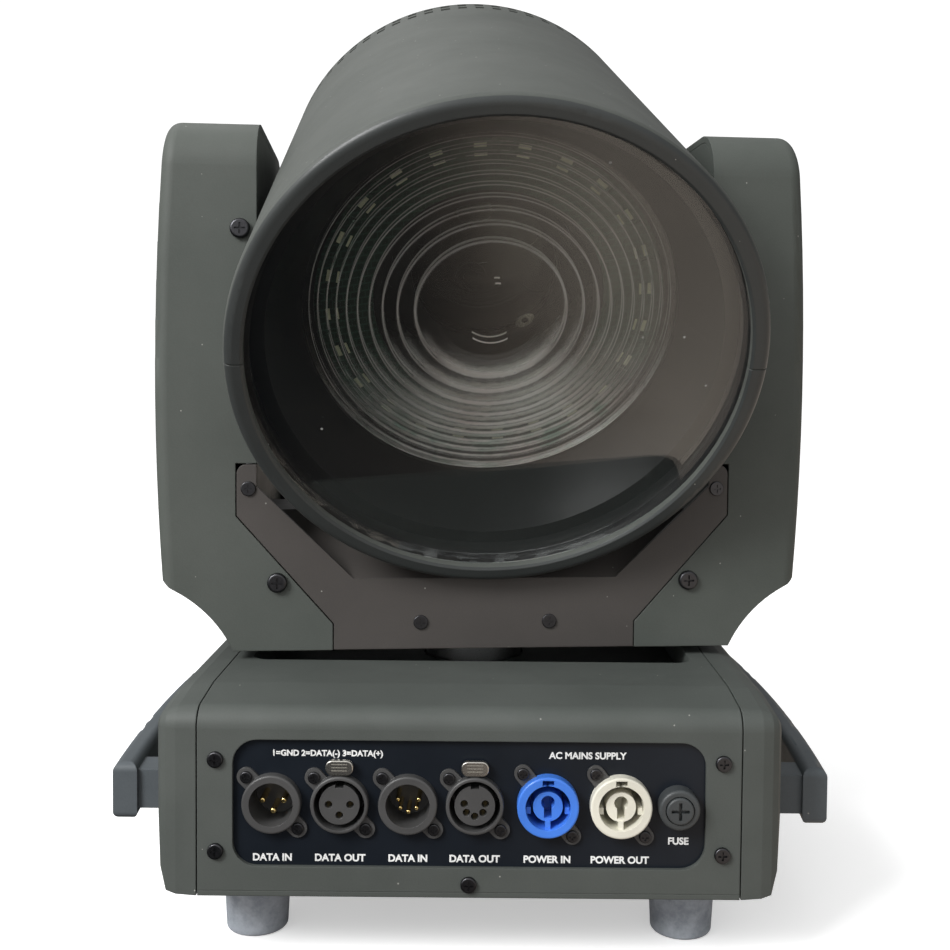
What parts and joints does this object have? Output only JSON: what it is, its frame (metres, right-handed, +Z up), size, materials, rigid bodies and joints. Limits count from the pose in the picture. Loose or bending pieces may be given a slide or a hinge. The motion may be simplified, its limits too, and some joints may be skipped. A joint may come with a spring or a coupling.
{
  "type": "moving head light",
  "caption": "Stage light with a drum head that tilts in a U-shaped yoke, on a boxed base that pans it, with data and power connectors, carrying handles and rubber feet.",
  "frame": {"origin": "the middle of the bottom of the bounding box at rest, in the plane that the feet stand on, 16.7 mm in front of the pan axis", "axes": "+Z up, parallel to the pan axis, -Y towards the side with the connectors, +X to the right when facing the connectors"},
  "size_m": [0.301, 0.3164, 0.4101],
  "materials": {
    "powder_coat": "fine satin powder coat",
    "cast_casing": "fine matt texture",
    "handle_plastic": "matt",
    "panel_black": "smooth satin black print",
    "connector_black": "black chromate",
    "inlet_blue": "glossy",
    "outlet_cream": "glossy",
    "contact_gold": "gold plated",
    "fuse_black": "matt",
    "black_screw": "black oxide",
    "foot_rubber": "worn blue-grey rubber",
    "tab_steel": "bright",
    "button_plastic": "matt",
    "screen": "glossy",
    "supply_case": "satin",
    "circuit_board": "solder mask",
    "bare_aluminium": "machined",
    "bearing_steel": "ground",
    "motor_steel": "painted stack",
    "belt_rubber": "matt",
    "clear_glass": "clear",
    "barrel_black": "matt black",
    "gobo_steel": "satin",
    "fan_plastic": "matt"
  },
  "bodies": {
    "base": {"base_tray": "powder_coat", "base_top_cover": "powder_coat", "left_end_cap": "cast_casing", "right_end_cap": "cast_casing", "left_handle": "handle_plastic", "right_handle": "handle_plastic", "connector_plate": "panel_black", "data_inlets": "connector_black", "data_outlets": "connector_black", "power_inlet": "inlet_blue", "power_outlet": "outlet_cream", "connector_contacts": "contact_gold", "fuse_holder": "fuse_black", "connector_screws": "black_screw", "base_screws": "black_screw", "rubber_feet": "foot_rubber", "display_bezel": "panel_black", "display_window": "screen", "power_supply": "supply_case", "main_board": "circuit_board", "pan_pulley": "bare_aluminium"},
    "fuse_cap": {"fuse_cap": "fuse_black"},
    "release_tab_3pin": {"release_tab_3pin": "tab_steel"},
    "release_tab_5pin": {"release_tab_5pin": "tab_steel"},
    "menu_button_1": {"menu_button_1": "button_plastic"},
    "menu_button_2": {"menu_button_2": "button_plastic"},
    "menu_button_3": {"menu_button_3": "button_plastic"},
    "menu_button_4": {"menu_button_4": "button_plastic"},
    "yoke": {"yoke_frame": "bare_aluminium", "left_arm_shell": "cast_casing", "right_arm_shell": "cast_casing", "left_arm_inner_cover": "cast_casing", "right_arm_inner_cover": "cast_casing", "yoke_front_panel": "powder_coat", "yoke_rear_panel": "powder_coat", "yoke_screws": "black_screw", "pan_motor": "motor_steel", "pan_belt": "belt_rubber", "tilt_motor": "motor_steel", "tilt_belt": "belt_rubber", "yoke_bearings": "bearing_steel"},
    "pan_motor_pulley": {"pan_motor_pulley": "bare_aluminium"},
    "tilt_motor_pulley": {"tilt_motor_pulley": "bare_aluminium"},
    "head": {"head_upper_shell": "cast_casing", "head_lower_shell": "cast_casing", "rear_cap": "cast_casing", "front_glass": "clear_glass", "glass_seal": "belt_rubber", "lens_barrel": "barrel_black", "fresnel_lens": "clear_glass", "ring_board": "circuit_board", "head_chassis": "bare_aluminium", "tilt_pulley": "bare_aluminium", "lamp_module": "bare_aluminium", "head_screws": "black_screw", "fan_frame": "fan_plastic"},
    "fan_rotor": {"fan_rotor": "fan_plastic"},
    "focus_carriage": {"focus_carriage": "bare_aluminium", "focus_lens": "clear_glass"},
    "gobo_wheel": {"gobo_wheel": "gobo_steel"}
  },
  "joints": [
    {"name": "pan", "type": "hinge", "parent": "base", "child": "yoke", "pos_m": [0, 0.0167, 0.12], "axis": [0, 0, 1], "range_deg": [-270, 270]},
    {"name": "tilt", "type": "hinge", "parent": "yoke", "child": "head", "pos_m": [0, 0.0167, 0.301], "axis": [-0.9962, -0.0872, 0], "range_deg": [0, 238]},
    {"name": "pan_motor_pulley_spin", "type": "hinge", "parent": "yoke", "child": "pan_motor_pulley", "pos_m": [0.07073, 0.02289, 0.116], "axis": [0, 0, 1], "range_deg": [-1486, 1486]},
    {"name": "tilt_motor_pulley_spin", "type": "hinge", "parent": "yoke", "child": "tilt_motor_pulley", "pos_m": [-0.11157, 0.00694, 0.216], "axis": [-0.9962, -0.0872, 0], "range_deg": [-1, 715]},
    {"name": "fan_spin", "type": "hinge", "parent": "head", "child": "fan_rotor", "pos_m": [-0.0061, 0.0864, 0.33978], "axis": [-0.0762, 0.8713, 0.4848], "continuous": true},
    {"name": "gobo_spin", "type": "hinge", "parent": "head", "child": "gobo_wheel", "pos_m": [-0.00335, 0.055, 0.28115], "axis": [-0.0762, 0.8713, 0.4848], "continuous": true},
    {"name": "focus_slide", "type": "slide", "parent": "head", "child": "focus_carriage", "axis": [-0.0762, 0.8713, 0.4848], "range_m": [0, 0.04]},
    {"name": "fuse_cap_turn", "type": "hinge", "parent": "base", "child": "fuse_cap", "pos_m": [0.08, -0.1193, 0.0651], "axis": [0, -1, 0], "range_deg": [0, 90]},
    {"name": "release_tab_3pin_press", "type": "slide", "parent": "base", "child": "release_tab_3pin", "axis": [0, 1, 0], "range_m": [0, 0.0012], "stiffness_N_per_m": 500, "springref_m": -0.001},
    {"name": "release_tab_5pin_press", "type": "slide", "parent": "base", "child": "release_tab_5pin", "axis": [0, 1, 0], "range_m": [0, 0.0012], "stiffness_N_per_m": 500, "springref_m": -0.001},
    {"name": "menu_button_1_press", "type": "slide", "parent": "base", "child": "menu_button_1", "axis": [0, -1, 0], "range_m": [0, 0.0012], "stiffness_N_per_m": 500, "springref_m": -0.001},
    {"name": "menu_button_2_press", "type": "slide", "parent": "base", "child": "menu_button_2", "axis": [0, -1, 0], "range_m": [0, 0.0012], "stiffness_N_per_m": 500, "springref_m": -0.001},
    {"name": "menu_button_3_press", "type": "slide", "parent": "base", "child": "menu_button_3", "axis": [0, -1, 0], "range_m": [0, 0.0012], "stiffness_N_per_m": 500, "springref_m": -0.001},
    {"name": "menu_button_4_press", "type": "slide", "parent": "base", "child": "menu_button_4", "axis": [0, -1, 0], "range_m": [0, 0.0012], "stiffness_N_per_m": 500, "springref_m": -0.001}
  ],
  "couplings": [
    {"joint": "pan_motor_pulley_spin", "follows": "pan", "ratio": -5.5},
    {"joint": "tilt_motor_pulley_spin", "follows": "tilt", "ratio": 3}
  ]
}
